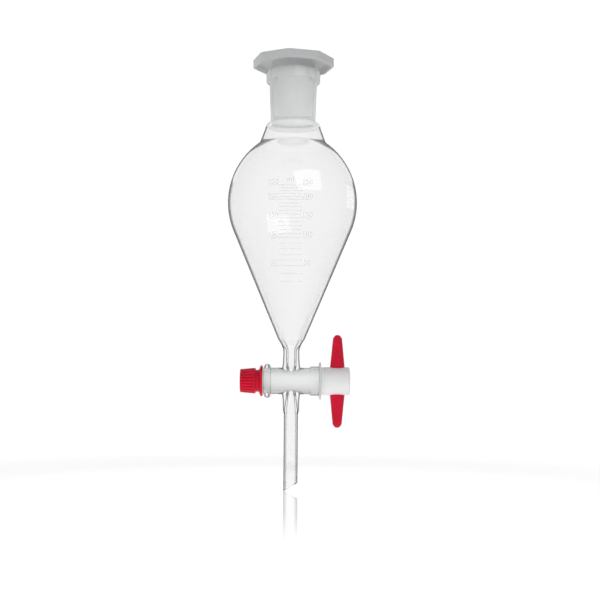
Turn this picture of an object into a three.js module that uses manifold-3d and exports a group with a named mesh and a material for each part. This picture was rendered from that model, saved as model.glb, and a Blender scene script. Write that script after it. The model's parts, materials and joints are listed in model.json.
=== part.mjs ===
// A pear-shaped separatory funnel of about 250 ml, with a standard-taper neck and stopper and a
// stopcock with a straight bore. Millimetres, +Z up. The origin is on the funnel's vertical axis, at
// the height where its cone sits in a support ring. +X points to the stopcock's lever, and the
// graduated front faces -Y. The stopcock is drawn open, with its lever in line with the stem.
import * as THREE from "three";
import { mergeVertices } from "three/addons/utils/BufferGeometryUtils.js";
import Module from "manifold-3d";

const wasm = await Module();
wasm.setup();

// Driving dimensions

const GAP = 0.3; // between neighbouring pieces that slide or turn
const TAPER = 1 / 20; // change of radius along a ground joint of taper 1:10
const SIDES = 40; // round the reservoir and neck
const TUBE_SIDES = 28; // round the tubes, barrel, key and nut
const CURVE_STEPS = 5; // along a curved stretch of an outline, and twice that along an arc
const PAST = 1; // how far a cutting shape reaches past the piece it cuts

const WALL = 2.0; // of the reservoir
const SEAT_RADIUS = 35.08; // outside of the cone at z = 0
const CONE_HALF_ANGLE = THREE.MathUtils.degToRad(22.85);
const CONE_END_Z = -62; // below it the cone rounds into the inlet arm
const BELLY_RADIUS = 50; // curve of the reservoir's side
const BELLY_Z = 31; // its widest height
const CORNER_Z = 71.9; // where the belly meets the flare below the neck
const CORNER_DROP = 0.6; // how much lower that corner is inside, per millimetre of wall
const FLARE_TOP = { r: 18.8, z: 82.4, wall: 1.8 };

const NECK = { rootRadius: 15.1, topRadius: 16.1, topZ: 111.8 };
const COLLAR = { r: 18.4, bottomZ: 114.5, topZ: 122, chamfer: 0.8 };
const SOCKET = { mouthRadius: 14.6, length: 32 };

const AXIS_Z = -90; // the stopcock's axis
const ARM = { r: 5.4, boreRadius: 2.4, waistZ: -70, throatZ: -67, rootRadius: 7.4, bend: 11.8 };
const OUTLET = { r: 5.4, z: -110 };
const STEM = { r: 4.7, boreRadius: 3.5, topZ: -113, tipZ: -163.4 };
const BEVEL = THREE.MathUtils.degToRad(30);

const BARREL = { r: 8.9, left: -18.5, right: 20.1, edge: 0.3, portRadius: 2.25, portWall: 1 };
const BEAD = { radius: 2.5, centre: 9 }; // rolled at the nut's end
const ROOT_PLANE = BARREL.r + 0.3; // above and below the axis, where the two arms join the barrel
const SLEEVE = { r: 9.85, left: 12.7, right: 18.8, slope: 0.9 };
const FLANGE_RADIUS = 12.8;

const KEY = { r: 7.5, left: -17.5, right: 20.4, boreRadius: 2 };
const TAIL = { r: 4.2, left: -33.4, chamfer: 0.6 };
const HEAD = { r: 9.5, right: 39.5, chamfer: 1.5, backChamfer: 0.4 };
const LEVER = { x: 31.1, reach: 31.1, depth: 7, edge: 1.4, point: 2.4 }; // rounded edges, pointed ends
const LEVER_WIDTH = { root: 9.9, tip: 6.2, end: 3.3 };

const WASHER = { inner: 4.5, outer: 8.6, right: -18.8, thickness: 0.8 };
const RING = { radius: 5.4, section: 0.7, x: -20.4 };
const NUT = { r: 8.7, leftRadius: 7.9, bore: 4.5, left: -34.4, right: -23.9 };
const NUT_GRIP = { ridges: 24, groove: 0.8, chamfer: 0.8 };
const NUT_NECK_RADIUS = 7.45;
const DISH = { back: -21.9, floor: -21.4, floorRadius: 7 };
const DISH_RIM = { r: 10.45, lip: 0.85, left: -20.4, right: -19.2 };

const STOPPER = { headRadius: 28.2, topZ: 130.5, rimZ: 124.8, plate: 2.2, rim: 1.8, tipZ: 93.8 };
const STOPPER_WALL = 1.4;
const STOPPER_TURN = THREE.MathUtils.degToRad(-6); // turn of a corner away from the front, to -X

// Materials

const material = (color, roughness, extra = {}) =>
  new THREE.MeshStandardMaterial({ color, roughness, metalness: 0, ...extra });
const glass = material(0xe6eeec, 0.05, { transparent: true, opacity: 0.35 });
const groundGlass = material(0xdfe4e3, 0.5, { transparent: true, opacity: 0.6 });
const stopperPlastic = material(0xe9edee, 0.35);
const fluoropolymer = material(0xf1f2f0, 0.45);
const redPlastic = material(0xd20a2e, 0.3);
const rubber = material(0x2b2b2d, 0.7);

// Helpers

const Z_AXIS = (geometry) => geometry.rotateX(Math.PI / 2); // a lathe's axis up
const X_AXIS = (geometry) => geometry.rotateZ(-Math.PI / 2); // a lathe's axis to +X
const point = (r, along) => new THREE.Vector2(r, along);

// A round piece from its closed outline, a THREE.Path of radius and height.
function turned(path, sides, turn = Z_AXIS) {
  const points = path.getPoints(CURVE_STEPS);
  if (!points[0].equals(points[points.length - 1])) points.push(points[0].clone());
  return turn(new THREE.LatheGeometry(points, sides));
}

// A round piece from a plain list of corners.
function turnedCorners(corners, sides, turn = Z_AXIS) {
  const points = corners.map(([r, along]) => point(r, along));
  if (corners[0][0] > 0) points.push(points[0].clone());
  return turn(new THREE.LatheGeometry(points, sides));
}

function solid(geometry) {
  const bare = geometry.clone();
  bare.deleteAttribute("normal");
  bare.deleteAttribute("uv");
  const merged = mergeVertices(bare, 1e-3);
  const triVerts = new Uint32Array(merged.index.array);
  const made = new wasm.Manifold(
    new wasm.Mesh({ numProp: 3, vertProperties: merged.attributes.position.array, triVerts }),
  );
  return made;
}

function geometryOf(manifold) {
  const mesh = manifold.getMesh();
  const geometry = new THREE.BufferGeometry();
  geometry.setAttribute("position", new THREE.BufferAttribute(mesh.vertProperties, 3));
  geometry.setIndex(new THREE.BufferAttribute(mesh.triVerts, 1));
  geometry.computeVertexNormals();
  return geometry;
}

function piece(name, geometry, surface) {
  const mesh = new THREE.Mesh(geometry, surface);
  mesh.name = name;
  return mesh;
}

// Reservoir: a cone that runs into a round belly, and a short flare up to the neck. The same outline is
// drawn twice, for the outside and, set in by the wall, for the inside.

const coneRadius = (z, inset = 0) =>
  SEAT_RADIUS + Math.tan(CONE_HALF_ANGLE) * z - inset / Math.cos(CONE_HALF_ANGLE);
const tangentZ = BELLY_Z - BELLY_RADIUS * Math.sin(CONE_HALF_ANGLE);
const bellyCentre = coneRadius(tangentZ) - BELLY_RADIUS * Math.cos(CONE_HALF_ANGLE);

function reservoirSide(inset, armRadius, topRadius) {
  const radius = BELLY_RADIUS - inset;
  const corner = Math.asin((CORNER_Z - CORNER_DROP * inset - BELLY_Z) / radius);
  const side = new THREE.Path();
  side.moveTo(armRadius, ARM.waistZ);
  side.quadraticCurveTo(armRadius, ARM.throatZ, coneRadius(CONE_END_Z, inset), CONE_END_Z);
  side.absarc(bellyCentre, BELLY_Z, radius, -CONE_HALF_ANGLE, corner, false);
  side.lineTo(topRadius, FLARE_TOP.z);
  return side.getPoints(CURVE_STEPS);
}

function reservoir() {
  const outside = reservoirSide(0, ARM.r, FLARE_TOP.r);
  const inside = reservoirSide(WALL, ARM.boreRadius, FLARE_TOP.r - FLARE_TOP.wall);
  const outline = [...outside, ...inside.reverse(), outside[0].clone()];
  return Z_AXIS(new THREE.LatheGeometry(outline, SIDES));
}

// Neck: a round shoulder, the ground socket and the collar round its mouth.

const socketRadius = (z) => SOCKET.mouthRadius - (COLLAR.topZ - z) * TAPER;

function neckSocket() {
  const { r, z, wall } = FLARE_TOP;
  const shoulder = r - NECK.rootRadius;
  const socketEnd = COLLAR.topZ - SOCKET.length;
  const underSocket = z + shoulder - wall;
  const path = new THREE.Path();
  path.moveTo(r, z);
  path.absarc(NECK.rootRadius, z, shoulder, 0, Math.PI / 2, false);
  path.lineTo(NECK.topRadius, NECK.topZ);
  path.lineTo(COLLAR.r, COLLAR.bottomZ);
  path.lineTo(COLLAR.r, COLLAR.topZ - COLLAR.chamfer);
  path.lineTo(COLLAR.r - COLLAR.chamfer, COLLAR.topZ);
  path.lineTo(SOCKET.mouthRadius, COLLAR.topZ);
  path.lineTo(socketRadius(socketEnd), socketEnd);
  path.lineTo(socketRadius(socketEnd), underSocket);
  path.absarc(NECK.rootRadius, z, shoulder - wall, Math.PI / 2, 0, true);
  path.lineTo(r, z);
  return turned(path, SIDES);
}

// Inlet arm, from the reservoir's throat down to the stopcock.

function inletArm() {
  const rootZ = AXIS_Z + ROOT_PLANE;
  const path = new THREE.Path();
  path.moveTo(ARM.rootRadius, rootZ);
  path.quadraticCurveTo(ARM.r, AXIS_Z + ARM.bend, ARM.r, ARM.waistZ);
  path.lineTo(ARM.boreRadius, ARM.waistZ);
  path.lineTo(ARM.boreRadius, rootZ);
  return turned(path, TUBE_SIDES);
}

// Stopcock barrel, with the roots of the two arms.

const keyRadius = (x) => KEY.r - (KEY.right - x) * TAPER;

function armRoots() {
  const root = new THREE.CylinderGeometry(ARM.rootRadius, ARM.rootRadius, 2 * ROOT_PLANE, TUBE_SIDES);
  return Z_AXIS(root).translate(0, 0, AXIS_Z);
}

function ports() {
  const neckZ = BARREL.r - BARREL.portWall;
  const half = [
    [BARREL.portRadius, neckZ],
    [ARM.boreRadius, ROOT_PLANE],
    [ARM.boreRadius, ROOT_PLANE + PAST],
    [0, ROOT_PLANE + PAST],
  ];
  const corners = [...half.map(([r, z]) => [r, -z]).reverse(), ...half];
  return turnedCorners(corners, TUBE_SIDES).translate(0, 0, AXIS_Z);
}

function barrelOutside() {
  const beadX = BARREL.left + BEAD.radius;
  const path = new THREE.Path();
  path.moveTo(0, BARREL.left);
  path.absarc(BEAD.centre, beadX, BEAD.radius, -Math.PI / 2, Math.PI / 2, false);
  path.lineTo(BARREL.r, beadX + BEAD.radius);
  path.lineTo(BARREL.r, SLEEVE.left - SLEEVE.slope);
  path.lineTo(SLEEVE.r, SLEEVE.left);
  path.lineTo(SLEEVE.r, SLEEVE.right);
  path.lineTo(FLANGE_RADIUS, SLEEVE.right + BARREL.edge);
  path.lineTo(FLANGE_RADIUS, BARREL.right - BARREL.edge);
  path.lineTo(FLANGE_RADIUS - BARREL.edge, BARREL.right);
  path.lineTo(0, BARREL.right);
  return turned(path, TUBE_SIDES, X_AXIS).translate(0, 0, AXIS_Z);
}

function barrelBore() {
  const left = BARREL.left - PAST;
  const right = BARREL.right + PAST;
  const corners = [
    [0, left],
    [keyRadius(left) + GAP, left],
    [keyRadius(right) + GAP, right],
    [0, right],
  ];
  return turnedCorners(corners, TUBE_SIDES, X_AXIS).translate(0, 0, AXIS_Z);
}

function stopcockBarrel() {
  const shell = solid(barrelOutside()).add(solid(armRoots()));
  return geometryOf(shell.subtract(solid(barrelBore())).subtract(solid(ports())));
}

// Drain stem: it flares up to the barrel, and its tip is cut at a slant, long side to -X.

const bevelZ = (x) => STEM.tipZ + (x + STEM.r) * Math.tan(BEVEL);

function drainStem() {
  const rootZ = AXIS_Z - ROOT_PLANE;
  const path = new THREE.Path();
  path.moveTo(STEM.r, STEM.tipZ - PAST);
  path.lineTo(STEM.r, STEM.topZ);
  path.lineTo(OUTLET.r, OUTLET.z);
  path.quadraticCurveTo(OUTLET.r, AXIS_Z - ARM.bend, ARM.rootRadius, rootZ);
  path.lineTo(ARM.boreRadius, rootZ);
  path.lineTo(STEM.boreRadius, STEM.topZ);
  path.lineTo(STEM.boreRadius, STEM.tipZ - PAST);
  const tube = turned(path, TUBE_SIDES);
  const size = 4 * STEM.r;
  const waste = new THREE.BoxGeometry(size, size, size)
    .translate(0, 0, -size / 2)
    .rotateY(-BEVEL)
    .translate(0, 0, bevelZ(0));
  return geometryOf(solid(tube).subtract(solid(waste)));
}

// Stopper: an octagonal cap with a rim, over a hollow cone that is open below.

const octagon = (radius, bottom, top) =>
  Z_AXIS(new THREE.CylinderGeometry(radius, radius, top - bottom, 8))
    .rotateZ(STOPPER_TURN)
    .translate(0, 0, (top + bottom) / 2);

function stopper() {
  const ceiling = STOPPER.topZ - STOPPER.plate;
  const coneTop = STOPPER.topZ - STOPPER.plate / 2;
  const coneRadiusAt = (z) => socketRadius(z) - GAP;
  const cap = solid(octagon(STOPPER.headRadius, STOPPER.rimZ, STOPPER.topZ));
  const recess = solid(octagon(STOPPER.headRadius - STOPPER.rim, STOPPER.rimZ - PAST, ceiling));
  const cone = turnedCorners(
    [
      [coneRadiusAt(STOPPER.tipZ), STOPPER.tipZ],
      [coneRadiusAt(coneTop), coneTop],
      [coneRadiusAt(coneTop) - STOPPER_WALL, coneTop],
      [coneRadiusAt(STOPPER.tipZ) - STOPPER_WALL, STOPPER.tipZ],
    ],
    SIDES,
  );
  return geometryOf(cap.subtract(recess).add(solid(cone)));
}

// Key: tapered body with a cross bore, round head with a slot for the lever, and a tail for the nut.

// The lever, widest where it passes through the key's head.
function leverBar(grow, depth) {
  const { edge } = LEVER;
  const core = depth - 2 * edge;
  const top = LEVER.reach - edge;
  const inner = (width) => width / 2 - edge + grow;
  const outline = [
    [inner(LEVER_WIDTH.root), HEAD.r],
    [inner(LEVER_WIDTH.tip), top - LEVER.point],
    [inner(LEVER_WIDTH.end), top],
  ];
  const rightSide = [...outline.map(([x, z]) => [x, -z]).reverse(), ...outline];
  const leftSide = rightSide.map(([x, z]) => [-x, z]).reverse();
  const shape = new THREE.Shape([...rightSide, ...leftSide].map(([x, z]) => new THREE.Vector2(x, z)));
  shape.closePath();
  return new THREE.ExtrudeGeometry(shape, {
    depth: core,
    bevelThickness: edge,
    bevelSize: edge,
    bevelSegments: 2,
  })
    .translate(0, 0, -core / 2)
    .rotateX(Math.PI / 2)
    .translate(LEVER.x, 0, AXIS_Z);
}

function stopcockKey() {
  const body = turnedCorners(
    [
      [0, TAIL.left],
      [TAIL.r - TAIL.chamfer, TAIL.left],
      [TAIL.r, TAIL.left + TAIL.chamfer],
      [TAIL.r, KEY.left],
      [keyRadius(KEY.left), KEY.left],
      [KEY.r, KEY.right],
      [HEAD.r - HEAD.backChamfer, KEY.right],
      [HEAD.r, KEY.right + HEAD.backChamfer],
      [HEAD.r, HEAD.right - HEAD.chamfer],
      [HEAD.r - HEAD.chamfer, HEAD.right],
      [0, HEAD.right],
    ],
    TUBE_SIDES,
    X_AXIS,
  ).translate(0, 0, AXIS_Z);
  const bore = Z_AXIS(new THREE.CylinderGeometry(KEY.boreRadius, KEY.boreRadius, 2 * HEAD.r, 16));
  const slot = leverBar(GAP, LEVER.depth + 2 * GAP);
  return geometryOf(solid(body).subtract(solid(bore.translate(0, 0, AXIS_Z))).subtract(solid(slot)));
}

// Seals on the key's tail, and the knurled nut that draws the key into its seat.

function slipWasher() {
  const { inner, outer, right, thickness } = WASHER;
  const corners = [
    [outer, right - thickness],
    [outer, right],
    [inner, right],
    [inner, right - thickness],
  ];
  return turnedCorners(corners, TUBE_SIDES, X_AXIS).translate(0, 0, AXIS_Z);
}

function oRing() {
  return new THREE.TorusGeometry(RING.radius, RING.section, 10, TUBE_SIDES)
    .rotateY(Math.PI / 2)
    .translate(RING.x, 0, AXIS_Z);
}

function nutGrip() {
  const shape = new THREE.Shape();
  for (let i = 0; i < 4 * NUT_GRIP.ridges; i += 1) {
    const angle = (i / (4 * NUT_GRIP.ridges)) * 2 * Math.PI;
    const radius = i % 4 < 2 ? NUT.r : NUT.r - NUT_GRIP.groove;
    const [x, y] = [radius * Math.cos(angle), radius * Math.sin(angle)];
    if (i === 0) shape.moveTo(x, y);
    else shape.lineTo(x, y);
  }
  shape.closePath();
  const length = NUT.right - NUT.left;
  const prism = new THREE.ExtrudeGeometry(shape, { depth: length, bevelEnabled: false })
    .rotateY(Math.PI / 2)
    .translate(NUT.left, 0, AXIS_Z);
  const envelope = turnedCorners(
    [
      [0, NUT.left],
      [NUT.leftRadius - NUT_GRIP.chamfer, NUT.left],
      [NUT.leftRadius, NUT.left + NUT_GRIP.chamfer],
      [NUT.r, NUT.right],
      [0, NUT.right],
    ],
    TUBE_SIDES,
    X_AXIS,
  ).translate(0, 0, AXIS_Z);
  return solid(prism).intersect(solid(envelope));
}

function lockNut() {
  const flange = turnedCorners(
    [
      [0, NUT.right - PAST],
      [NUT_NECK_RADIUS, NUT.right - PAST],
      [NUT_NECK_RADIUS, DISH.back],
      [DISH_RIM.r, DISH_RIM.left],
      [DISH_RIM.r, DISH_RIM.right],
      [DISH_RIM.r - DISH_RIM.lip, DISH_RIM.right],
      [DISH.floorRadius, DISH.floor],
      [0, DISH.floor],
    ],
    TUBE_SIDES,
    X_AXIS,
  ).translate(0, 0, AXIS_Z);
  const bore = X_AXIS(new THREE.CylinderGeometry(NUT.bore, NUT.bore, 3 * -NUT.left, TUBE_SIDES));
  return geometryOf(nutGrip().add(solid(flange)).subtract(solid(bore.translate(0, 0, AXIS_Z))));
}

// Assembly

const vessel = new THREE.Group();
vessel.add(
  piece("reservoir", reservoir(), glass),
  piece("neck_socket", neckSocket(), groundGlass),
  piece("inlet_arm", inletArm(), glass),
  piece("stopcock_barrel", stopcockBarrel(), glass),
  piece("drain_stem", drainStem(), glass),
);

const stopcock = new THREE.Group();
stopcock.add(
  piece("stopcock_key", stopcockKey(), fluoropolymer),
  piece("lever_handle", leverBar(0, LEVER.depth), redPlastic),
  piece("slip_washer", slipWasher(), fluoropolymer),
  piece("o_ring", oRing(), rubber),
  piece("lock_nut", lockNut(), redPlastic),
);

const funnel = new THREE.Group();
funnel.name = "separatory_funnel";
funnel.add(vessel, stopcock, piece("stopper", stopper(), stopperPlastic));

export default funnel;
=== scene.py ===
import json
import math
from bisect import bisect_left

import bmesh
import bpy
from mathutils import Matrix, Vector


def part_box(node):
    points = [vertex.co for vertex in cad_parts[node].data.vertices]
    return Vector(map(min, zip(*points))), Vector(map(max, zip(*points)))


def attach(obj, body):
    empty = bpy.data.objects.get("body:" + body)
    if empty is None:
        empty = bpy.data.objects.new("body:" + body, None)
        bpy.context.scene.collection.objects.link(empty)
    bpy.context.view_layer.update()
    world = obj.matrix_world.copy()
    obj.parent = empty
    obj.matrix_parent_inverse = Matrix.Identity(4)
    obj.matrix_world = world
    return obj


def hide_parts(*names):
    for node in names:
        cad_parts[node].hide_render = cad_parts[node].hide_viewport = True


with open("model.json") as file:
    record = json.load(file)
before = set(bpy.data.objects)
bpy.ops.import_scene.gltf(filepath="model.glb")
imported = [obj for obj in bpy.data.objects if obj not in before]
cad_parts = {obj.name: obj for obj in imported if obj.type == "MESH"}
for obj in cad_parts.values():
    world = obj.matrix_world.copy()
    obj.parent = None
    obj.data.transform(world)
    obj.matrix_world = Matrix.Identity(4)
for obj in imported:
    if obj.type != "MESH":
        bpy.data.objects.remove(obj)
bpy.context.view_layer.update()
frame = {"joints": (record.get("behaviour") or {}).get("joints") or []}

# A separatory funnel of 250 ml. Outlines are in millimetres: radius, then height along the axis.
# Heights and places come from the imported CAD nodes, so that each piece sits where its node does.

MM = 0.001
X, Y, Z = 0, 1, 2
ARM_WAIST = -70.0  # height of the inlet arm's narrowest place
STEM_TOP = -113.0
QUARTER = math.pi / 2


def span(node, axis):
    """Lowest and highest value of a CAD node along an axis, in millimetres."""
    low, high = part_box(node)
    return low[axis] / MM, high[axis] / MM


joints = {joint["name"]: joint for joint in frame["joints"]}
AXIS_Z = joints["key_turn"]["pos_m"][Z] / MM
FLARE_TOP = span("reservoir", Z)[1]
MOUTH = span("neck_socket", Z)[1]
STEM_TIP = span("drain_stem", Z)[0]
STEM_RADIUS = 4.7
BARREL_LEFT, BARREL_RIGHT = span("stopcock_barrel", X)
STOPPER_TIP, STOPPER_TOP = span("stopper", Z)
KEY_LEFT, KEY_RIGHT = span("stopcock_key", X)
HEAD_RADIUS = span("stopcock_key", Y)[1]
LEVER_X = sum(span("lever_handle", X)) / 2
LEVER_REACH = span("lever_handle", Z)[1] - AXIS_Z
LEVER_DEPTH = span("lever_handle", Y)[1]
WASHER_LEFT, WASHER_RIGHT = span("slip_washer", X)
WASHER_RADIUS = span("slip_washer", Y)[1]
RING_X = sum(span("o_ring", X)) / 2
NUT_LEFT, NUT_RIGHT = span("lock_nut", X)
NUT_RIM = span("lock_nut", Y)[1]

# ---------------------------------------------------------------- outlines


def arc(centre_r, centre_z, radius, start, end, steps=16):
    """Points along an arc, with angles in radians from the radial direction."""
    turns = (start + (end - start) * i / steps for i in range(steps + 1))
    return [(centre_r + radius * math.cos(a), centre_z + radius * math.sin(a)) for a in turns]


def bend(start, control, end, steps=12):
    """Points along a smooth bend from start to end, without its first point."""
    points = []
    for i in range(1, steps + 1):
        t = i / steps
        a, b, c = (1 - t) ** 2, 2 * t * (1 - t), t * t
        points.append(tuple(a * s + b * m + c * e for s, m, e in zip(start, control, end)))
    return points


def rounded(corners, radius, steps=4):
    """A closed outline with each corner rounded, except those on the axis."""
    points = []
    count = len(corners)
    for i, corner in enumerate(corners):
        here = Vector(corner)
        before = Vector(corners[i - 1]) - here
        after = Vector(corners[(i + 1) % count]) - here
        cut = min(radius, before.length * 0.45, after.length * 0.45)
        if corner[0] == 0 or cut < 1e-6:
            points.append(corner)
            continue
        start = here + before.normalized() * cut
        end = here + after.normalized() * cut
        points.append(tuple(start))
        points.extend(bend(tuple(start), corner, tuple(end), steps))
    return points


# ---------------------------------------------------------------- meshes


def new_object(name, verts, faces, material):
    mesh = bpy.data.meshes.new(name)
    mesh.from_pydata([Vector(v) * MM for v in verts], [], faces)
    mesh.materials.append(material)
    mesh.validate()
    made = bpy.data.objects.new(name, mesh)
    bpy.context.scene.collection.objects.link(made)
    return made


def onto_axis(r, along, turn, axis):
    """A point of a turned piece: about the vertical axis, or about the stopcock's axis."""
    if axis == Z:
        return (r * math.cos(turn), r * math.sin(turn), along)
    return (along, r * math.cos(turn), AXIS_Z + r * math.sin(turn))


def turned(name, outline, material, sides=96, axis=Z, shape=None):
    """A closed piece turned from an outline, which closes on itself or ends on the axis.

    shape, where given, is a function of radius, height and angle that returns the radius to use.
    """
    verts = []
    rings = []
    for r, along in outline:
        if r == 0:
            rings.append([len(verts)])
            verts.append(onto_axis(0, along, 0, axis))
            continue
        rings.append(list(range(len(verts), len(verts) + sides)))
        for i in range(sides):
            turn = 2 * math.pi * i / sides
            radius = shape(r, along, turn) if shape else r
            verts.append(onto_axis(radius, along, turn, axis))
    closed = rings if outline[0][0] == 0 else rings + [rings[0]]
    faces = []
    for low, high in zip(closed, closed[1:]):
        for i in range(sides):
            j = (i + 1) % sides
            if len(low) == 1 and len(high) == 1:
                break
            if len(low) == 1:
                faces.append((low[0], high[j], high[i]))
            elif len(high) == 1:
                faces.append((low[i], low[j], high[0]))
            else:
                faces.append((low[i], low[j], high[j], high[i]))
    return smoothed(new_object(name, verts, faces, material))


def smoothed(made, sharp_degrees=32):
    """Outward faces, shaded smooth, with real edges kept sharp."""
    mesh = made.data
    bm = bmesh.new()
    bm.from_mesh(mesh)
    bmesh.ops.recalc_face_normals(bm, faces=bm.faces)
    limit = math.radians(sharp_degrees)
    for face in bm.faces:
        face.smooth = True
    for edge in bm.edges:
        edge.smooth = edge.is_manifold and edge.calc_face_angle(0) < limit
    bm.to_mesh(mesh)
    bm.free()
    return made


def boolean(target, tool, operation):
    """Joins or cuts target with tool, and removes tool."""
    modifier = target.modifiers.new(operation.lower(), "BOOLEAN")
    modifier.operation = operation
    modifier.object = tool
    modifier.solver = "EXACT"
    depsgraph = bpy.context.evaluated_depsgraph_get()
    result = bpy.data.meshes.new_from_object(target.evaluated_get(depsgraph), depsgraph=depsgraph)
    target.modifiers.clear()
    target.data = result
    bpy.data.objects.remove(tool)
    return target


def shown(made, body, slot, *nodes):
    """Puts a finished piece on its body, in place of its CAD nodes."""
    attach(made, body)
    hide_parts(*nodes)
    return made


# ---------------------------------------------------------------- materials


class Nodes:
    """A short way to write a material's node tree."""

    def __init__(self, name):
        self.material = bpy.data.materials.new(name)
        self.material.use_nodes = True
        self.tree = self.material.node_tree
        self.tree.nodes.clear()
        self.out = self.add("OutputMaterial")

    def add(self, kind, **inputs):
        node = self.tree.nodes.new("ShaderNode" + kind)
        for key, value in inputs.items():
            self.feed(node.inputs[key.replace("_", " ")], value)
        return node

    def feed(self, socket, value):
        if isinstance(value, bpy.types.NodeSocket):
            self.tree.links.new(value, socket)
        else:
            socket.default_value = value

    def place(self):
        return self.add("TexCoord").outputs["Object"]

    def noise(self, scale, detail=3.0, stretch=None):
        where = self.place()
        if stretch:
            where = self.add("Mapping", Vector=where, Scale=stretch).outputs["Vector"]
        return self.add("TexNoise", Vector=where, Scale=scale, Detail=detail).outputs["Fac"]

    def ramp(self, value, *stops):
        """Colours or greys by value: stops are (position, colour or grey)."""
        node = self.add("ValToRGB", Fac=value)
        elements = node.color_ramp.elements
        while len(elements) < len(stops):
            elements.new(0.5)
        for element, (position, colour) in zip(elements, stops):
            element.position = position
            element.color = (*colour, 1) if isinstance(colour, tuple) else (colour,) * 3 + (1,)
        return node.outputs["Color"]

    def bump(self, height, strength, distance):
        return self.add("Bump", Height=height, Strength=strength, Distance=distance).outputs["Normal"]

    def principled(self, **inputs):
        return self.add("BsdfPrincipled", **inputs)

    def maths(self, operation, *values):
        node = self.add("Math")
        node.operation = operation
        for socket, value in zip(node.inputs, values):
            self.feed(socket, value)
        return node.outputs["Value"]

    def finish(self, shader):
        self.tree.links.new(shader, self.out.inputs["Surface"])
        return self.material

    def mix(self, share, first, second):
        node = self.add("MixShader", Fac=share)
        self.tree.links.new(first, node.inputs[1])
        self.tree.links.new(second, node.inputs[2])
        return node.outputs["Shader"]

    def lit_through(self, shader, tint):
        """Lets lamps light what is behind the glass."""
        clear = self.add("BsdfTransparent", Color=(*tint, 1)).outputs["BSDF"]
        return self.mix(self.add("LightPath").outputs["Is Shadow Ray"], shader, clear)


OUTLINE_FROM, OUTLINE_TO = 40, 90  # heights in mm between which the painted dark outline changes its width
OUTLINE_SHARES = (
    (0, 1), (0.1, 0.5), (0.44, 0.5), (0.54, 1.2), (0.62, 1.2), (0.66, 0.8), (0.82, 0.8), (0.86, 0.2),
)


def outline_width(n, height, radius):
    """How far in from its outline the glass gets painted shade: most on the shoulder, least on the neck."""
    span_mm = {"From_Min": OUTLINE_FROM * MM, "From_Max": OUTLINE_TO * MM}
    level = n.add("MapRange", Value=height, **span_mm).outputs["Result"]
    share = n.ramp(level, *OUTLINE_SHARES)
    return n.maths("MULTIPLY", n.maths("MULTIPLY_ADD", radius, 0.025, MM), share)


def clear_glass(name, width, strength):
    """Clear glass with painted shade: a dark tint along its outline, because refraction alone leaves that
    too faint, and a little darker where it is seen at a slant.

    strength, the share of the painted outline shade, is a function of the distances from the vertical axis
    and the stopcock's axis.
    """
    n = Nodes(name)
    x, y, height = n.add("SeparateXYZ", Vector=n.place()).outputs
    facing = n.add("LayerWeight", Blend=0.5).outputs["Facing"]
    cosine = n.maths("SUBTRACT", 1, facing)
    sine = n.maths("SQRT", n.maths("SUBTRACT", 1, n.maths("MULTIPLY", cosine, cosine)))
    above_key = n.maths("SUBTRACT", height, AXIS_Z * MM)
    from_axis, from_key = (
        n.maths("SQRT", n.maths("MULTIPLY_ADD", side, side, n.maths("MULTIPLY", y, y)))
        for side in (x, above_key)
    )
    radius = n.maths("MINIMUM", from_axis, from_key)
    into = n.maths("MULTIPLY", radius, n.maths("SUBTRACT", 1, sine))
    reach = n.maths("MULTIPLY", outline_width(n, height, radius), width)
    # painted shade: the glass's colour goes dark along its outline, darkest at the very edge
    line = n.ramp(n.maths("DIVIDE", into, reach), (0, 0.17), (0.5, 0.32), (0.8, 0.62), (1, 1))
    share = strength(n, from_axis, from_key)
    line = n.add("MixRGB", Fac=share, Color1=(1, 1, 1, 1), Color2=line).outputs["Color"]
    # painted shade: the glass's colour is a little darker where it is seen at a slant, in place of the
    # longer path through the wall
    slant_shade = n.ramp(facing, (0, 0.967), (0.3, 0.955), (0.5, 0.94), (0.7, 0.92))
    tint = n.add("MixRGB", Fac=1.0, Color1=line, Color2=slant_shade)
    tint.blend_type = "MULTIPLY"
    waves = n.bump(n.noise(28, 1.5, (1, 1, 0.5)), 0.06, 0.0006)
    glass = n.add("BsdfGlass", Color=tint.outputs["Color"], Roughness=0.0, IOR=1.47, Normal=waves)
    return n.finish(n.lit_through(glass.outputs["BSDF"], (0.96, 0.97, 0.97)))


def outside_strength(n, from_axis, from_key):
    """The painted outline shade: full on the body and tubes, less on the stopcock's barrel and least on its
    flange.
    """
    barrel = n.maths("LESS_THAN", from_key, from_axis)
    drop = n.add("MapRange", Value=from_key, From_Min=9.9 * MM, From_Max=10.6 * MM, To_Min=0.55, To_Max=0.85)
    return n.maths("SUBTRACT", 1, n.maths("MULTIPLY", barrel, drop.outputs["Result"]))


def bore_strength(n, from_axis, from_key):
    """The painted outline shade: full in the narrow bores, none in the reservoir and the stopcock's ports.
    """
    narrow = n.add("MapRange", Value=from_axis, From_Min=4 * MM, From_Max=9 * MM, To_Min=1, To_Max=0)
    clear = n.add("MapRange", Value=from_key, From_Min=10 * MM, From_Max=12 * MM)
    return n.maths("MULTIPLY", narrow.outputs["Result"], clear.outputs["Result"])


def ground_glass():
    """Glass with a matt ground face, which scatters as much light as it passes."""
    n = Nodes("ground_glass")
    grain = n.noise(2600, 2.0)
    rough = n.bump(grain, 0.25, 0.00005)
    glass = n.add(
        "BsdfGlass",
        Color=(0.93, 0.94, 0.94, 1),
        Roughness=n.ramp(grain, (0.3, 0.34), (0.7, 0.48)),
        IOR=1.47,
        Normal=rough,
    ).outputs["BSDF"]
    colour = n.ramp(grain, (0.3, 0.84), (0.7, 0.9))
    matt = n.add("BsdfDiffuse", Color=colour, Normal=rough).outputs["BSDF"]
    glow = n.add("BsdfTranslucent", Color=colour, Normal=rough).outputs["BSDF"]
    frosted = n.mix(0.7, glass, n.mix(0.5, matt, glow))
    return n.finish(n.lit_through(frosted, (0.85, 0.86, 0.86)))


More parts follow.
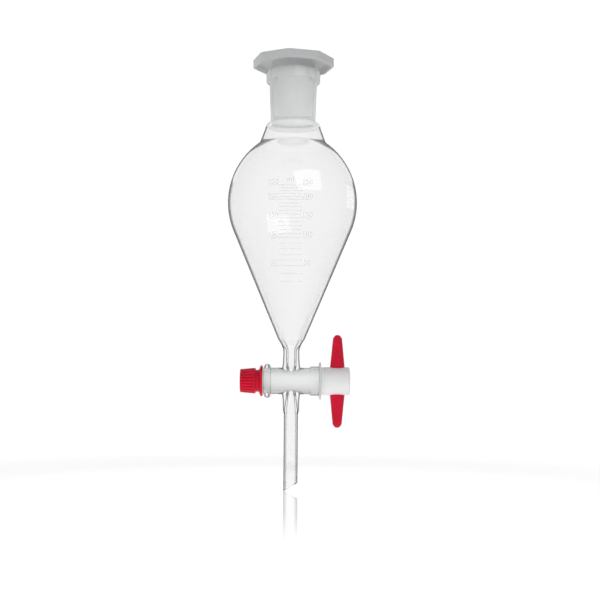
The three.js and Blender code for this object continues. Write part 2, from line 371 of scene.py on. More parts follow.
def stopper_plastic():
    n = Nodes("stopper_plastic")
    mottle = n.noise(90, 4.0)
    colour = n.ramp(mottle, (0.3, 0.66), (0.7, 0.72))
    fine = n.noise(1500, 2.0)
    body = n.principled(
        Base_Color=colour,
        Roughness=n.ramp(mottle, (0.3, 0.30), (0.7, 0.42)),
        IOR=1.5,
        Normal=n.bump(fine, 0.08, 0.00006),
    ).outputs["BSDF"]
    glow = n.add("BsdfTranslucent", Color=(0.86, 0.87, 0.88, 1)).outputs["BSDF"]
    return n.finish(n.mix(0.5, body, glow))


def fluoropolymer():
    n = Nodes("fluoropolymer")
    cloud = n.noise(60, 3.0)
    colour = n.ramp(cloud, (0.3, 0.83), (0.7, 0.88))
    rings = n.noise(900, 1.0, (1, 0.02, 0.02))
    body = n.principled(
        Base_Color=colour,
        Roughness=n.ramp(rings, (0.3, 0.38), (0.7, 0.52)),
        IOR=1.38,
        Subsurface_Weight=0.25,
        Subsurface_Radius=(1.0, 0.9, 0.85),
        Subsurface_Scale=0.002,
        Normal=n.bump(rings, 0.18, 0.00006),
    ).outputs["BSDF"]
    return n.finish(body)


def red_plastic():
    n = Nodes("red_plastic")
    cloud = n.noise(140, 3.0)
    colour = n.ramp(cloud, (0.3, (0.60, 0.002, 0.026)), (0.7, (0.70, 0.003, 0.036)))
    fine = n.noise(1800, 2.0)
    body = n.principled(
        Base_Color=colour,
        Roughness=n.ramp(fine, (0.3, 0.24), (0.7, 0.34)),
        IOR=1.5,
        Specular_IOR_Level=0.2,
        Subsurface_Weight=0.08,
        Subsurface_Radius=(1.0, 0.1, 0.12),
        Subsurface_Scale=0.0015,
        Normal=n.bump(fine, 0.12, 0.00008),
    ).outputs["BSDF"]
    return n.finish(body)


def black_rubber():
    n = Nodes("black_rubber")
    fine = n.noise(1200, 3.0)
    body = n.principled(
        Base_Color=n.ramp(fine, (0.3, 0.02), (0.7, 0.035)),
        Roughness=n.ramp(fine, (0.3, 0.55), (0.7, 0.75)),
        Normal=n.bump(fine, 0.2, 0.00005),
    ).outputs["BSDF"]
    return n.finish(body)


def enamel(name, dark, light, clear):
    """Thin print, which lets light through, and a share of it unchanged."""
    n = Nodes(name)
    fine = n.noise(1600, 3.0)
    colour = n.ramp(fine, (0.3, dark), (0.7, light))
    body = n.principled(
        Base_Color=colour,
        Roughness=n.ramp(fine, (0.3, 0.4), (0.7, 0.6)),
        Normal=n.bump(fine, 0.15, 0.00003),
    ).outputs["BSDF"]
    glow = n.add("BsdfTranslucent", Color=colour).outputs["BSDF"]
    gaps = n.add("BsdfTransparent").outputs["BSDF"]
    return n.finish(n.mix(clear, n.mix(0.5, body, glow), gaps))


GLASS = clear_glass("clear_glass", 1.0, outside_strength)
BORE_GLASS = clear_glass("clear_glass_bore", 0.5, bore_strength)
GROUND = ground_glass()
STOPPER = stopper_plastic()
PTFE = fluoropolymer()
RED = red_plastic()
RUBBER = black_rubber()
PRINT = enamel("print_enamel", 0.50, 0.58, 0.72)
MARKING = enamel("marking_enamel", 0.86, 0.92, 0.82)

# ---------------------------------------------------------------- glass vessel

WALL = 2.0
SEAT_RADIUS = 35.08
CONE_ANGLE = math.radians(22.85)
CONE_END = -62.0
BELLY_RADIUS = 50.0
BELLY_Z = 31.0
CORNER_Z = 71.9
CORNER_DROP = 0.6
FLARE_RADIUS = 18.8
FLARE_WALL = 1.8
NECK_ROOT = 15.1
NECK_TOP = (16.1, 111.8)
COLLAR_RADIUS = 18.4
COLLAR_Z = 114.5
SOCKET_MOUTH = 14.6
SOCKET_LENGTH = 32.0
TAPER = 1 / 20
ARM_RADIUS = 5.4
ARM_BORE = 2.4
ARM_THROAT = -67.0
ARM_ROOT = 6.3
ARM_BEND = 11.0
STEM_BORE = 3.5
OUTLET_Z = -110.0
BARREL_RADIUS = 8.9
PORT_RADIUS = 2.25
BEAD_RADIUS = 2.5
SLEEVE_RADIUS = 9.85
SLEEVE_LEFT = 12.7
SLEEVE_RIGHT = 18.8
FLANGE_RADIUS = 12.8
KEY_RADIUS = 7.5
KEY_SHOULDER = 20.4
SEAT_GAP = 0.08  # between the key and the barrel, and between the stopper and the socket
BEVEL = math.radians(30)


def cone_radius(z, inset=0.0):
    return SEAT_RADIUS + math.tan(CONE_ANGLE) * z - inset / math.cos(CONE_ANGLE)


def socket_radius(z):
    return SOCKET_MOUTH - (MOUTH - z) * TAPER


def key_radius(x):
    return KEY_RADIUS - (KEY_SHOULDER - x) * TAPER


def body_side(inset, arm_radius, flare_radius, rounding):
    """The reservoir's side from the inlet arm up to the top of its flare."""
    tangent = BELLY_Z - BELLY_RADIUS * math.sin(CONE_ANGLE)
    centre = cone_radius(tangent) - BELLY_RADIUS * math.cos(CONE_ANGLE)
    radius = BELLY_RADIUS - inset
    top = math.asin((CORNER_Z - CORNER_DROP * inset - BELLY_Z) / radius)
    foot = (arm_radius, ARM_WAIST)
    cone = (cone_radius(CONE_END, inset), CONE_END)
    corner = Vector((centre + radius * math.cos(top), BELLY_Z + radius * math.sin(top)))
    flare = Vector((flare_radius, FLARE_TOP)) - corner
    belly = arc(centre, BELLY_Z, radius, -CONE_ANGLE, top - rounding / radius, 48)
    turn = bend(belly[-1], corner, corner + flare.normalized() * rounding, 8)
    side = [foot, *bend(foot, (arm_radius, ARM_THROAT), cone), *belly, *turn]
    return side + [tuple(corner + flare * 0.95)]


def outer_side():
    return body_side(0, ARM_RADIUS, FLARE_RADIUS, rounding=1.5)


def inner_side():
    return body_side(WALL, ARM_BORE, FLARE_RADIUS - FLARE_WALL, rounding=3.0)


def neck_outside():
    shoulder = FLARE_RADIUS - NECK_ROOT
    lip = 0.9
    return [
        *arc(NECK_ROOT, FLARE_TOP, shoulder, 0, QUARTER, 14),
        NECK_TOP,
        *bend(NECK_TOP, (NECK_TOP[0] + 0.2, NECK_TOP[1] + 1.2), (COLLAR_RADIUS, COLLAR_Z), 8),
        (COLLAR_RADIUS, MOUTH - lip),
        *arc(COLLAR_RADIUS - lip, MOUTH - lip, lip, 0, QUARTER, 6),
    ]


def neck_inside():
    """From the mouth down to the flare, with a smooth step below the ground socket."""
    end = MOUTH - SOCKET_LENGTH
    narrow, wide = socket_radius(end), FLARE_RADIUS - FLARE_WALL
    outline = [(SOCKET_MOUTH, MOUTH - 0.2), (narrow, end)]
    steps = 16
    for i in range(steps + 1):
        share = i / steps
        step = share * share * (3 - 2 * share)
        outline.append((narrow + (wide - narrow) * step, end - 0.4 + (FLARE_TOP - end + 0.4) * share))
    return outline


def arms_outside():
    """From the drain stem's tip up to the inlet arm's waist, past the barrel."""
    low = (OUTLET_Z, AXIS_Z - ARM_BEND, AXIS_Z - BARREL_RADIUS + 0.7)
    high = (AXIS_Z + BARREL_RADIUS - 0.7, AXIS_Z + ARM_BEND, ARM_WAIST)
    return [
        (STEM_RADIUS, STEM_TIP - 1),
        (STEM_RADIUS, STEM_TOP),
        *bend((STEM_RADIUS, STEM_TOP), (STEM_RADIUS, STEM_TOP + 1.5), (ARM_RADIUS, low[0]), 6),
        *bend((ARM_RADIUS, low[0]), (ARM_RADIUS, low[1]), (ARM_ROOT, low[2])),
        (ARM_ROOT, high[0]),
        *bend((ARM_ROOT, high[0]), (ARM_RADIUS, high[1]), (ARM_RADIUS, high[2])),
    ]


def barrel_outside():
    centre = BARREL_LEFT + BEAD_RADIUS
    neck = centre + BEAD_RADIUS
    rim = 0.45
    return [
        (0, BARREL_LEFT),
        *arc(BARREL_RADIUS + 0.1, centre, BEAD_RADIUS, -QUARTER, QUARTER, 16),
        *bend((BARREL_RADIUS + 0.1, neck), (BARREL_RADIUS, neck), (BARREL_RADIUS, neck + 0.6), 3),
        (BARREL_RADIUS, SLEEVE_LEFT - 1.0),
        *bend((BARREL_RADIUS, SLEEVE_LEFT - 1.0), (BARREL_RADIUS + 0.2, SLEEVE_LEFT),
              (SLEEVE_RADIUS, SLEEVE_LEFT + 0.6), 5),
        (SLEEVE_RADIUS, SLEEVE_RIGHT - 0.8),
        *bend((SLEEVE_RADIUS, SLEEVE_RIGHT - 0.8), (SLEEVE_RADIUS, SLEEVE_RIGHT),
              (SLEEVE_RADIUS + 0.8, SLEEVE_RIGHT), 5),
        (FLANGE_RADIUS - rim, BARREL_RIGHT - 3 * rim),
        *arc(FLANGE_RADIUS - rim, BARREL_RIGHT - 1.5 * rim, rim, 0, QUARTER, 5),
        (FLANGE_RADIUS - 2 * rim, BARREL_RIGHT),
        (0, BARREL_RIGHT),
    ]


def glass_vessel():
    outside = [(0, STEM_TIP - 1), *arms_outside(), *outer_side()[1:], *neck_outside(), (0, MOUTH)]
    vessel = turned("glass_vessel", outside, GLASS, 128)
    barrel = turned("barrel", barrel_outside(), GLASS, 96, X)
    boolean(vessel, barrel, "UNION")

    port_top = AXIS_Z + BARREL_RADIUS - 1
    port_bottom = AXIS_Z - BARREL_RADIUS + 1
    upper = [(0, AXIS_Z + 1), (PORT_RADIUS, AXIS_Z + 1), (PORT_RADIUS, port_top)]
    upper += bend((PORT_RADIUS, port_top), (ARM_BORE, port_top + 1), (ARM_BORE, port_top + 3), 6)
    upper += inner_side() + neck_inside()[::-1]
    mouth_edge = SOCKET_MOUTH + 0.2
    upper += [(mouth_edge, MOUTH), (mouth_edge, MOUTH + 2), (0, MOUTH + 2)]
    boolean(vessel, turned("upper_void", upper, GLASS, 128), "DIFFERENCE")

    lower = [(0, STEM_TIP - 3), (STEM_BORE, STEM_TIP - 3), (STEM_BORE, STEM_TOP)]
    lower += [(ARM_BORE, port_bottom - 3)]
    lower += bend((ARM_BORE, port_bottom - 3), (ARM_BORE, port_bottom - 1), (PORT_RADIUS, port_bottom), 6)
    lower += [(PORT_RADIUS, AXIS_Z - 1), (0, AXIS_Z - 1)]
    boolean(vessel, turned("lower_void", lower, GLASS, 96), "DIFFERENCE")

    ends = (BARREL_LEFT - 1, BARREL_RIGHT + 1)
    seat = [(0, ends[0]), *((key_radius(x) + SEAT_GAP, x) for x in ends), (0, ends[1])]
    boolean(vessel, turned("key_seat", seat, GLASS, 96, X), "DIFFERENCE")

    bevel_centre = STEM_TIP + STEM_RADIUS * math.tan(BEVEL)
    size = 40
    waste_mesh = bmesh.new()
    place = Matrix.Translation((0, 0, bevel_centre * MM)) @ Matrix.Rotation(-BEVEL, 4, "Y")
    sunk = place @ Matrix.Translation((0, 0, -size / 2 * MM))
    bmesh.ops.create_cube(waste_mesh, size=size * MM, matrix=sunk)
    waste = new_object("waste", [], [], GLASS)
    waste_mesh.to_mesh(waste.data)
    waste_mesh.free()
    boolean(vessel, waste, "DIFFERENCE")

    smoothed(vessel)
    finish_faces(vessel)
    nodes = ("reservoir", "neck_socket", "inlet_arm", "stopcock_barrel", "drain_stem")
    return shown(vessel, "glass", "glass", *nodes)


def finish_faces(vessel):
    """Gives the outside, the bores and the ground faces their own glass.

    The ground faces are the socket, the step below it, the key's seat and the sleeve's flange.
    """
    mesh = vessel.data
    mesh.materials.clear()
    for material in (GLASS, BORE_GLASS, GROUND):
        mesh.materials.append(material)
    socket_end = MOUTH - SOCKET_LENGTH
    for face in mesh.polygons:
        centre = face.center / MM
        r = math.hypot(centre.x, centre.y)
        inward = face.normal.x * centre.x + face.normal.y * centre.y < 0
        if abs(centre.z - AXIS_Z) < BARREL_RADIUS + 3:
            up = centre.z - AXIS_Z
            inward = face.normal.y * centre.y + face.normal.z * up < 0
        ground = r < socket_radius(centre.z) + 0.05 and socket_end - 0.1 < centre.z < MOUTH - 0.1
        ground |= inward and FLARE_TOP - 0.3 < centre.z < socket_end
        from_key = math.hypot(centre.y, centre.z - AXIS_Z)
        flange = SLEEVE_RADIUS + 0.5 < from_key < FLANGE_RADIUS + 1
        ground |= flange and SLEEVE_RIGHT - 0.5 < centre.x < BARREL_RIGHT + 1
        seat = abs(from_key - key_radius(centre.x) - SEAT_GAP) < 0.1
        ground |= seat and BARREL_LEFT < centre.x < BARREL_RIGHT
        face.material_index = 2 if ground else int(inward)


# ---------------------------------------------------------------- stopper

HEAD_CIRCUMRADIUS = 28.2
HEAD_PLATE = 2.2
HEAD_RIM = 1.8
HEAD_HEIGHT = 5.7
STOPPER_TURN = math.radians(-6)
STOPPER_WALL = 1.4
CORNER_ROUNDING = 0.985


def octagon_radius(circumradius, turn):
    """An octagon's radius at an angle, with its corners a little rounded."""
    eighth = math.pi / 4
    off = (turn - QUARTER - STOPPER_TURN) % eighth - eighth / 2
    flat = circumradius * math.cos(eighth / 2)
    return min(flat / math.cos(off), circumradius * CORNER_ROUNDING)


def stopper_shape(r, along, turn):
    """The head's rings are octagons and the cone's are round."""
    return octagon_radius(r, turn) if r > SOCKET_MOUTH + 4 else r


def stopper():
    top = STOPPER_TOP
    rim = top - HEAD_HEIGHT
    ceiling = top - HEAD_PLATE
    edge = 0.5
    full = HEAD_CIRCUMRADIUS
    inner = full - HEAD_RIM

    def cone(z):
        return socket_radius(z) - SEAT_GAP

    hollow = cone(ceiling) - STOPPER_WALL

    outline = [
        (0, top - 0.4),
        (cone(MOUTH) - 3, top - 0.4),
        (cone(MOUTH) - 2, top),
        (full - 3, top),
        *bend((full - edge, top), (full, top), (full, top - edge), 4),
        *bend((full, rim + edge), (full, rim), (full - edge, rim), 4),
        *bend((inner + edge, rim), (inner, rim), (inner, rim + edge), 4),
        *bend((inner - 0.3, ceiling - 0.8), (inner - 0.4, ceiling), (inner - 1.4, ceiling), 4),
        (cone(MOUTH) + 6, ceiling),
        *bend((cone(ceiling) + 1, ceiling), (cone(ceiling), ceiling), (cone(ceiling), ceiling - 1), 4),
        (cone(MOUTH), MOUTH),
        (cone(STOPPER_TIP + 1), STOPPER_TIP + 1),
        *bend((cone(STOPPER_TIP + 1), STOPPER_TIP + 1), (cone(STOPPER_TIP), STOPPER_TIP),
              (cone(STOPPER_TIP) - 0.8, STOPPER_TIP), 4),
        (cone(STOPPER_TIP) - STOPPER_WALL, STOPPER_TIP + 0.4),
        (hollow - 0.5, ceiling - 1),
        *bend((hollow - 0.5, ceiling - 1), (hollow - 0.5, ceiling), (hollow - 2, ceiling), 4),
        (0, ceiling),
    ]
    made = turned("stopper_plug", outline, STOPPER, 160, shape=stopper_shape)
    return shown(made, "stopper", "stopper_plastic", "stopper")


# ---------------------------------------------------------------- stopcock key and lever

TAIL_RADIUS = 4.2
TAIL_SHOULDER = -17.5
KEY_BORE = 2.0
THREAD_PITCH = 1.5
THREAD_DEPTH = 0.6
THREAD_START = -21.0
HEAD_CHAMFER = 1.7
GROOVE_X = 22.3
LEVER_ROOT = 4.95
LEVER_TIP = 3.1
LEVER_POINT = 2.4
LEVER_SECTION = 2.9  # the exponent of its rounded section: 2 is an ellipse, and more is squarer


def threaded(r, along, turn):
    """A helical thread on the key's tail."""
    if not (TAIL_RADIUS - 0.05 < r < TAIL_RADIUS + 0.05 and along < THREAD_START):
        return r
    phase = (along / THREAD_PITCH + turn / (2 * math.pi)) % 1
    return r - THREAD_DEPTH * min(1, max(0, abs(2 * phase - 1) * 1.5 - 0.25))


def stopcock_key():
    chamfer = 0.6
    steps = 10  # for each turn of the thread
    threads = [
        (TAIL_RADIUS, KEY_LEFT + chamfer + i * THREAD_PITCH / steps)
        for i in range(int((THREAD_START - KEY_LEFT - chamfer) * steps / THREAD_PITCH) + 1)
    ]
    groove = 0.25
    outline = [
        (0, KEY_LEFT),
        (TAIL_RADIUS - chamfer, KEY_LEFT),
        *threads,
        (TAIL_RADIUS, THREAD_START + 0.2),
        (TAIL_RADIUS, TAIL_SHOULDER),
        (key_radius(TAIL_SHOULDER) - 0.3, TAIL_SHOULDER),
        (key_radius(TAIL_SHOULDER + 0.3), TAIL_SHOULDER + 0.3),
        (key_radius(KEY_SHOULDER), KEY_SHOULDER),
        (HEAD_RADIUS - 0.4, KEY_SHOULDER),
        (HEAD_RADIUS, KEY_SHOULDER + 0.4),
        (HEAD_RADIUS, GROOVE_X - groove),
        (HEAD_RADIUS - groove, GROOVE_X),
        (HEAD_RADIUS, GROOVE_X + groove),
        (HEAD_RADIUS, KEY_RIGHT - HEAD_CHAMFER),
        *bend((HEAD_RADIUS, KEY_RIGHT - HEAD_CHAMFER), (HEAD_RADIUS, KEY_RIGHT),
              (HEAD_RADIUS - HEAD_CHAMFER, KEY_RIGHT), 5),
        (HEAD_RADIUS - 2.2, KEY_RIGHT),
        (HEAD_RADIUS - 2.6, KEY_RIGHT - 0.4),
        (0, KEY_RIGHT - 0.4),
    ]
    key = turned("stopcock_key_body", outline, PTFE, 96, X, threaded)
    low, high = AXIS_Z - HEAD_RADIUS, AXIS_Z + HEAD_RADIUS
    bore = [(0, low), (KEY_BORE, low), (KEY_BORE, high), (0, high)]
    boolean(key, turned("bore", bore, PTFE, 48), "DIFFERENCE")
    boolean(key, lever_mesh("slot", 0.06), "DIFFERENCE")
    smoothed(key)
    return shown(key, "key", "fluoropolymer", "stopcock_key")


def lever_mesh(name, grow=0.0):
    """A bar of rounded section, widest in the key's head, with pointed ends."""
    sides = 48
    power = 2.0 / LEVER_SECTION
    flat = LEVER_REACH - LEVER_POINT
    thinning = 1.0
    steps = 12
    point_steps = 6
    sections = [(0.0, LEVER_ROOT, LEVER_DEPTH), (HEAD_RADIUS - 1, LEVER_ROOT, LEVER_DEPTH)]
    for i in range(steps + 1):
        share = i / steps
        level = HEAD_RADIUS + (flat - HEAD_RADIUS) * share
        width = LEVER_ROOT + (LEVER_TIP - LEVER_ROOT) * share
        sections.append((level, width, LEVER_DEPTH - thinning * share))
    for i in range(1, point_steps + 1):
        share = i / point_steps
        narrowing = 1 - 0.6 * share ** 1.3
        depth = (LEVER_DEPTH - thinning) * (1 - 0.4 * share ** 2)
        sections.append((flat + LEVER_POINT * share, LEVER_TIP * narrowing, depth))
    mirrored = [(-level, width, depth) for level, width, depth in sections[:0:-1]]
    verts = []
    for level, width, depth in mirrored + sections:
        for i in range(sides):
            turn = 2 * math.pi * i / sides
            c, s = math.cos(turn), math.sin(turn)
            verts.append((
                LEVER_X + (width + grow) * math.copysign(abs(c) ** power, c),
                (depth + grow) * math.copysign(abs(s) ** power, s),
                AXIS_Z + level,
            ))
    count = len(mirrored) + len(sections)
    faces = [tuple(range(sides))[::-1], tuple(range((count - 1) * sides, count * sides))]
    for ring in range(count - 1):
        for i in range(sides):
            j = (i + 1) % sides
            low, high = ring * sides, (ring + 1) * sides
            faces.append((low + i, low + j, high + j, high + i))
    return smoothed(new_object(name, verts, faces, RED), 50)


# ---------------------------------------------------------------- seals and nut

WASHER_BORE = 4.5
O_RING_RADIUS = 5.4
O_RING_SECTION = 0.7
NUT_RADIUS = 8.7
NUT_LEFT_RADIUS = 7.9
NUT_BORE = 4.5
NUT_GRIP_RIGHT = -23.9
NUT_RIDGES = 24
RIDGE_DEPTH = 0.75
NUT_NECK = 7.45
DISH_BACK = -21.9
DISH_FLOOR = -21.4
DISH_RADIUS = 7.0
DISH_LIP = 0.85


def slip_washer():
    corners = [
        (WASHER_BORE, WASHER_LEFT),
        (WASHER_RADIUS, WASHER_LEFT),
        (WASHER_RADIUS, WASHER_RIGHT),
        (WASHER_BORE, WASHER_RIGHT),
    ]
    made = turned("slip_washer_disc", rounded(corners, 0.15), PTFE, 96, X)
    return shown(made, "seals", "fluoropolymer", "slip_washer")


def o_ring():
    outline = arc(O_RING_RADIUS, RING_X, O_RING_SECTION, 0, 2 * math.pi, 24)[:-1]
    made = turned("seal_ring", outline, RUBBER, 96, X)
    return shown(made, "seals", "rubber", "o_ring")


def ridged(r, along, turn):
    """Rounded grip ridges on the nut, dying out at both ends of the grip."""
    if r < NUT_LEFT_RADIUS - 0.3 or along > NUT_GRIP_RIGHT:
        return r
    ends = min(along - NUT_LEFT - 0.6, NUT_GRIP_RIGHT - 0.3 - along)
    fade = min(1, max(0, ends))
    wave = abs(math.sin(turn * NUT_RIDGES / 2)) ** 0.6
    return r - RIDGE_DEPTH * (1 - wave) * fade


def lock_nut():
    edge = 0.9
    steps = 20
    left, right = NUT_LEFT + edge, NUT_GRIP_RIGHT - edge / 2
    slope = (NUT_RADIUS - NUT_LEFT_RADIUS) / steps
    grip = [(NUT_LEFT_RADIUS + slope * i, left + (right - left) * i / steps) for i in range(steps + 1)]
    outline = [
        (NUT_BORE, DISH_FLOOR),
        (NUT_BORE, NUT_LEFT + 0.5),
        (NUT_BORE + 0.5, NUT_LEFT),
        (NUT_LEFT_RADIUS - edge, NUT_LEFT),
        *bend((NUT_LEFT_RADIUS - edge, NUT_LEFT), (NUT_LEFT_RADIUS, NUT_LEFT), grip[0], 5),
        *grip[1:],
        *bend(grip[-1], (NUT_RADIUS, NUT_GRIP_RIGHT), (NUT_RADIUS - edge / 2, NUT_GRIP_RIGHT), 3),
        (NUT_NECK, NUT_GRIP_RIGHT),
        (NUT_NECK, DISH_BACK),
        (NUT_RIM - 0.4, DISH_BACK + 1.1),
        *bend((NUT_RIM - 0.4, DISH_BACK + 1.1), (NUT_RIM, DISH_BACK + 1.3), (NUT_RIM, DISH_BACK + 1.7), 4),
        (NUT_RIM, NUT_RIGHT - 0.3),
        (NUT_RIM - 0.3, NUT_RIGHT),
        (NUT_RIM - DISH_LIP, NUT_RIGHT),
        (DISH_RADIUS, DISH_FLOOR),
    ]
    made = turned("knurled_nut", outline[::-1], RED, 240, X, ridged)
    return shown(made, "nut", "red_plastic", "lock_nut")


# ---------------------------------------------------------------- printed scale

SCALE_STEP = 10  # ml
SCALE_TOP = 250
SCALE_HEIGHTS = {30: -24.7, 50: -14.7, 100: 2.8, 150: 15.0, 200: 26.6, SCALE_TOP: 36.0}  # by ml
LABEL_EVERY = 50
MINOR_HALF = 7.6  # half-length of a minor line, in mm round the glass
MAJOR_HALF = 13.6
LINE_HEIGHT = 0.42
PRINT_LIFT = 0.03
PRINT_THICKNESS = 0.05
DIGIT_HEIGHT = 3.4
FONT_SCALE = 1.4  # the font's size for a digit of height 1
SCALE_TURN = math.radians(-1.5)  # the scale's middle, from the front towards -X
FRONT = -QUARTER


def radius_at(z):
    """The reservoir's outside radius at a height."""
    side = outer_side()
    heights = [point[1] for point in side]
    i = min(max(bisect_left(heights, z), 1), len(side) - 1)
    (r0, z0), (r1, z1) = side[i - 1], side[i]
    return r0 + (r1 - r0) * (z - z0) / (z1 - z0)


def mark_heights():
    """The height of every line of the scale, evenly spaced between the given ones."""
    heights = {}
    given = list(SCALE_HEIGHTS.items())
    for (low, low_z), (high, high_z) in zip(given, given[1:]):
        for volume in range(low, high + 1, SCALE_STEP):
            heights[volume] = low_z + (high_z - low_z) * (volume - low) / (high - low)
    return heights


def on_glass(across, z, lift, middle=SCALE_TURN):
    """A point on the reservoir, by its distance round the glass from the middle of the scale or patch."""
    r = radius_at(z)
    turn = FRONT + middle + across / r
    return ((r + lift) * math.cos(turn), (r + lift) * math.sin(turn), z)


def plate(name, rows, material, place):
    """A thin closed plate over a grid of (across, height) points."""
    columns = len(rows[0])
    size = len(rows) * columns
    verts = [place(a, z, PRINT_LIFT + PRINT_THICKNESS) for row in rows for a, z in row]
    verts += [place(a, z, PRINT_LIFT) for row in rows for a, z in row]
    faces = []
    for i in range(len(rows) - 1):
        for j in range(columns - 1):
            a = i * columns + j
            quad = (a, a + 1, a + 1 + columns, a + columns)
            faces.append(quad)
            faces.append(tuple(v + size for v in quad[::-1]))
    border = list(range(columns))
    border += [i * columns + columns - 1 for i in range(1, len(rows))]
    border += [(len(rows) - 1) * columns + j for j in range(columns - 2, -1, -1)]
    border += [i * columns for i in range(len(rows) - 2, 0, -1)]
    for a, b in zip(border, border[1:] + border[:1]):
        faces.append((b, a, a + size, b + size))
    return smoothed(new_object(name, verts, faces, material), 30)


def scale_line(z, half):
    steps = 24
    columns = [-half + 2 * half * i / steps for i in range(steps + 1)]
    rows = [[(a, z + side * LINE_HEIGHT / 2) for a in columns] for side in (-1, 1)]
    return plate("line", rows, PRINT, on_glass)


def label(words, across, z, height):
    """A number or a unit printed on the glass, centred at a place on the scale."""
    curve = bpy.data.curves.new("label", "FONT")
    curve.body = words
    curve.align_x = "CENTER"
    curve.size = height * FONT_SCALE
    curve.extrude = PRINT_THICKNESS / 2
    curve.resolution_u = 3
    text = bpy.data.objects.new("label", curve)
    bpy.context.scene.collection.objects.link(text)
    depsgraph = bpy.context.evaluated_depsgraph_get()
    mesh = bpy.data.meshes.new_from_object(text.evaluated_get(depsgraph), depsgraph=depsgraph)
    bpy.data.objects.remove(text)
    bm = bmesh.new()
    bm.from_mesh(mesh)
    bmesh.ops.remove_doubles(bm, verts=bm.verts, dist=1e-5)
    for vertex in bm.verts:
        a, up, lift = vertex.co
        vertex.co = Vector(on_glass(across + a, z + up, PRINT_LIFT + PRINT_THICKNESS / 2 + lift)) * MM
    bm.to_mesh(mesh)
    bm.free()
    mesh.materials.clear()
    mesh.materials.append(PRINT)
    made = bpy.data.objects.new("label", mesh)
    bpy.context.scene.collection.objects.link(made)
    return made


def joined(name, parts):
    bpy.ops.object.select_all(action="DESELECT")
    for part in parts:
        part.select_set(True)
    bpy.context.view_layer.objects.active = parts[0]
    bpy.ops.object.join()
    parts[0].name = name
    parts[0].data.name = name
    return parts[0]


def printed_scale():
    parts = []
    for volume, z in mark_heights().items():
        major = volume % LABEL_EVERY == 0
        parts.append(scale_line(z, MAJOR_HALF if major else MINOR_HALF))
        if major:
            for side in (-1, 1):
                across = side * (MAJOR_HALF - 2.4)
                parts.append(label(str(volume), across, z + 0.7, DIGIT_HEIGHT))
    parts.append(label("ml", 0, SCALE_HEIGHTS[SCALE_TOP] + 2.4, DIGIT_HEIGHT))
    made = joined("printed_scale", parts)
    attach(made, "glass")
    return made


MARKING_TURN = math.radians(63)
MARKING_SIZE = (12.0, 15.0)
MARKING_Z = 32.0


def marking_spot():
    """A blank matt patch for a pencil note, to the right of the scale."""
    width, height = MARKING_SIZE
    corner = 1.5
    rows = []
    steps, columns = 24, 12
    for i in range(steps + 1):
        up = -height / 2 + height * i / steps
        into = max(0.0, abs(up) - (height / 2 - corner))
        half = width / 2 - corner + math.sqrt(max(0.0, corner * corner - into * into))
        rows.append([(-half + 2 * half * j / columns, MARKING_Z + up) for j in range(columns + 1)])

    def place(across, z, lift):
        return on_glass(across, z, lift, MARKING_TURN)

    made = plate("marking_spot", rows, MARKING, place)
    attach(made, "glass")
    return made


# ---------------------------------------------------------------- studio

FLOOR_GLOW = 0.62
FLOOR_LIGHT = 0.6
FLOOR_FADE = (0.3, 0.6)  # metres from the axis, from full floor to none
SHINE_FADE = (0.2, 0.31)  # from a glossy floor to a matt one
BACKDROP = 1.03
ROOM = (0.62, 0.16)  # at its brightest, low on the left, and at its darkest
BRIGHT_SIDE = (-0.7, 0.0, -0.7)
TOP_SOFTBOX = {"place": (0.47, -0.79, 0.56), "target": (0, 0, 0), "size": (0.85, 0.6), "power": 2.4}
LOW_BOUNCE = {"place": (-0.5, -0.5, -0.5), "target": (0, 0, AXIS_Z * MM), "size": (0.2, 0.2), "power": 1.1}


def floor():
    """A glossy white table that fades into the white background a little way from the object.

    It glows, and it casts no shadow, so that light from below the table reaches the object.
    """
    n = Nodes("floor")
    soft = n.noise(3, 2.0)
    lit = n.add("BsdfDiffuse", Color=n.ramp(soft, (0.3, 0.90), (0.7, 0.92))).outputs["BSDF"]
    seen = n.add("LightPath").outputs["Is Diffuse Ray"]
    strength = n.add("MapRange", Value=seen, To_Min=FLOOR_GLOW, To_Max=FLOOR_LIGHT).outputs["Result"]
    glow = n.add("Emission", Color=(1, 1, 1, 1), Strength=strength).outputs["Emission"]
    matt = n.add("AddShader")
    n.tree.links.new(lit, matt.inputs[0])
    n.tree.links.new(glow, matt.inputs[1])
    gloss = n.add("BsdfGlossy", Color=(1, 1, 1, 1), Roughness=0.08).outputs["BSDF"]
    distance = n.add("VectorMath", Vector=n.place())
    distance.operation = "LENGTH"

    def fade(start, end, low, high):
        ends = {"From_Min": start, "From_Max": end, "To_Min": low, "To_Max": high}
        made = n.add("MapRange", Value=distance.outputs["Value"], **ends)
        made.interpolation_type = "SMOOTHSTEP"
        return made.outputs["Result"]

    shine = n.maths("MULTIPLY", n.add("Fresnel", IOR=2.2).outputs["Fac"], fade(*SHINE_FADE, 1, 0))
    table = n.mix(shine, matt.outputs["Shader"], gloss)
    nothing = n.add("BsdfTransparent").outputs["BSDF"]
    material = n.finish(n.mix(fade(*FLOOR_FADE, 0, 1), table, nothing))
    z = STEM_TIP - 0.05
    size = FLOOR_FADE[1] / MM
    sides = 96
    turns = [2 * math.pi * i / sides for i in range(sides)]
    rim = [(size * math.cos(turn), size * math.sin(turn), z) for turn in turns]
    made = new_object("floor", rim, [tuple(range(sides))], material)
    made.visible_shadow = False


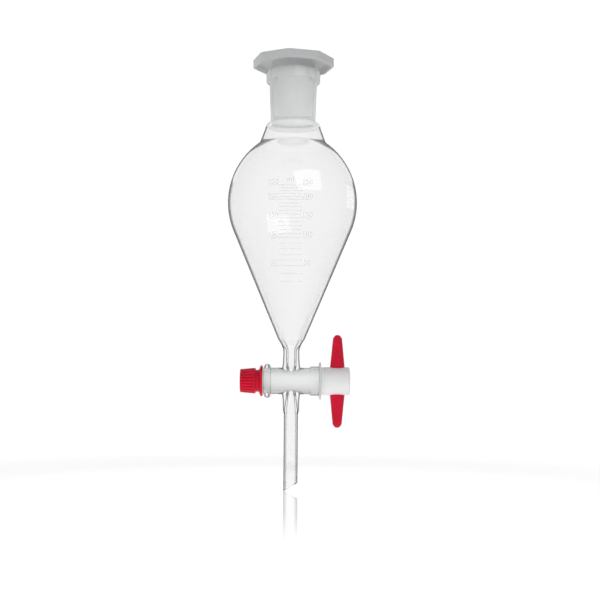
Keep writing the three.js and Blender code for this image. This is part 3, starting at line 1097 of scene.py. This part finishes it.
def studio_world():
    """A white backdrop for the camera, glass and gloss, and a darker room that lights matt faces.

    The room is darkest above and to the right.
    """
    world = bpy.data.worlds.new("studio")
    world.use_nodes = True
    tree = world.node_tree

    def ranged(value, low, high, start=0.0, end=1.0):
        node = tree.nodes.new("ShaderNodeMapRange")
        tree.links.new(value, node.inputs["Value"])
        node.inputs["From Min"].default_value = start
        node.inputs["From Max"].default_value = end
        for name, goal in (("To Min", low), ("To Max", high)):
            if isinstance(goal, bpy.types.NodeSocket):
                tree.links.new(goal, node.inputs[name])
            else:
                node.inputs[name].default_value = goal
        return node.outputs["Result"]

    towards = tree.nodes.new("ShaderNodeVectorMath")
    towards.operation = "DOT_PRODUCT"
    tree.links.new(tree.nodes.new("ShaderNodeTexCoord").outputs["Generated"], towards.inputs[0])
    towards.inputs[1].default_value = BRIGHT_SIDE
    room = ranged(towards.outputs["Value"], *ROOM[::-1], -0.8, 0.8)
    diffuse = tree.nodes.new("ShaderNodeLightPath").outputs["Is Diffuse Ray"]
    background = tree.nodes["Background"]
    background.inputs["Color"].default_value = (1, 1, 1, 1)
    tree.links.new(ranged(diffuse, BACKDROP, room), background.inputs["Strength"])
    bpy.context.scene.world = world


def softbox(name, place, target, size, power):
    light = bpy.data.lights.new(name, "AREA")
    light.shape = "RECTANGLE"
    light.size, light.size_y = size
    light.energy = power
    lamp = bpy.data.objects.new(name, light)
    bpy.context.scene.collection.objects.link(lamp)
    lamp.location = place
    aim = Vector(target) - Vector(place)
    lamp.rotation_euler = aim.to_track_quat("-Z", "Y").to_euler()
    return lamp


def studio_lights():
    """A softbox from above, and light from below that doesn't show in the glass."""
    softbox("top_softbox", **TOP_SOFTBOX)
    bounce = softbox("low_bounce", **LOW_BOUNCE)
    bounce.visible_glossy = False
    bounce.visible_transmission = False


CAMERA_DISTANCE = 0.775
CAMERA_HEIGHT = AXIS_Z * MM
CAMERA_SIDE = 0.0056
CAMERA_LENS = 68.8
CAMERA_SENSOR = 36
CAMERA_PITCH = math.radians(4.04)
CAMERA_ROLL = math.radians(0.4)


def camera():
    data = bpy.data.cameras.new("camera")
    data.lens = CAMERA_LENS
    data.sensor_width = CAMERA_SENSOR
    data.clip_end = 200
    made = bpy.data.objects.new("camera", data)
    bpy.context.scene.collection.objects.link(made)
    level = Matrix.Rotation(QUARTER + CAMERA_PITCH, 4, "X")
    roll = Matrix.Rotation(CAMERA_ROLL, 4, "Z")
    place = Matrix.Translation((CAMERA_SIDE, -CAMERA_DISTANCE, CAMERA_HEIGHT))
    made.matrix_world = place @ level @ roll
    bpy.context.scene.camera = made


def light_paths():
    """Enough bounces for light to pass through both walls of the vessel and what is in it."""
    through_glass = 24
    cycles = bpy.context.scene.cycles
    cycles.max_bounces = through_glass
    cycles.transmission_bounces = through_glass
    cycles.transparent_max_bounces = through_glass
    cycles.glossy_bounces = 8
    cycles.diffuse_bounces = 4
    cycles.caustics_reflective = False
    cycles.caustics_refractive = True
    bpy.context.scene.view_settings.view_transform = "Standard"


camera()
glass_vessel()
stopper()
stopcock_key()
lever = lever_mesh("lever_bar")
shown(lever, "key", "red_plastic", "lever_handle")
slip_washer()
o_ring()
lock_nut()
printed_scale()
marking_spot()
floor()
studio_world()
studio_lights()
light_paths()
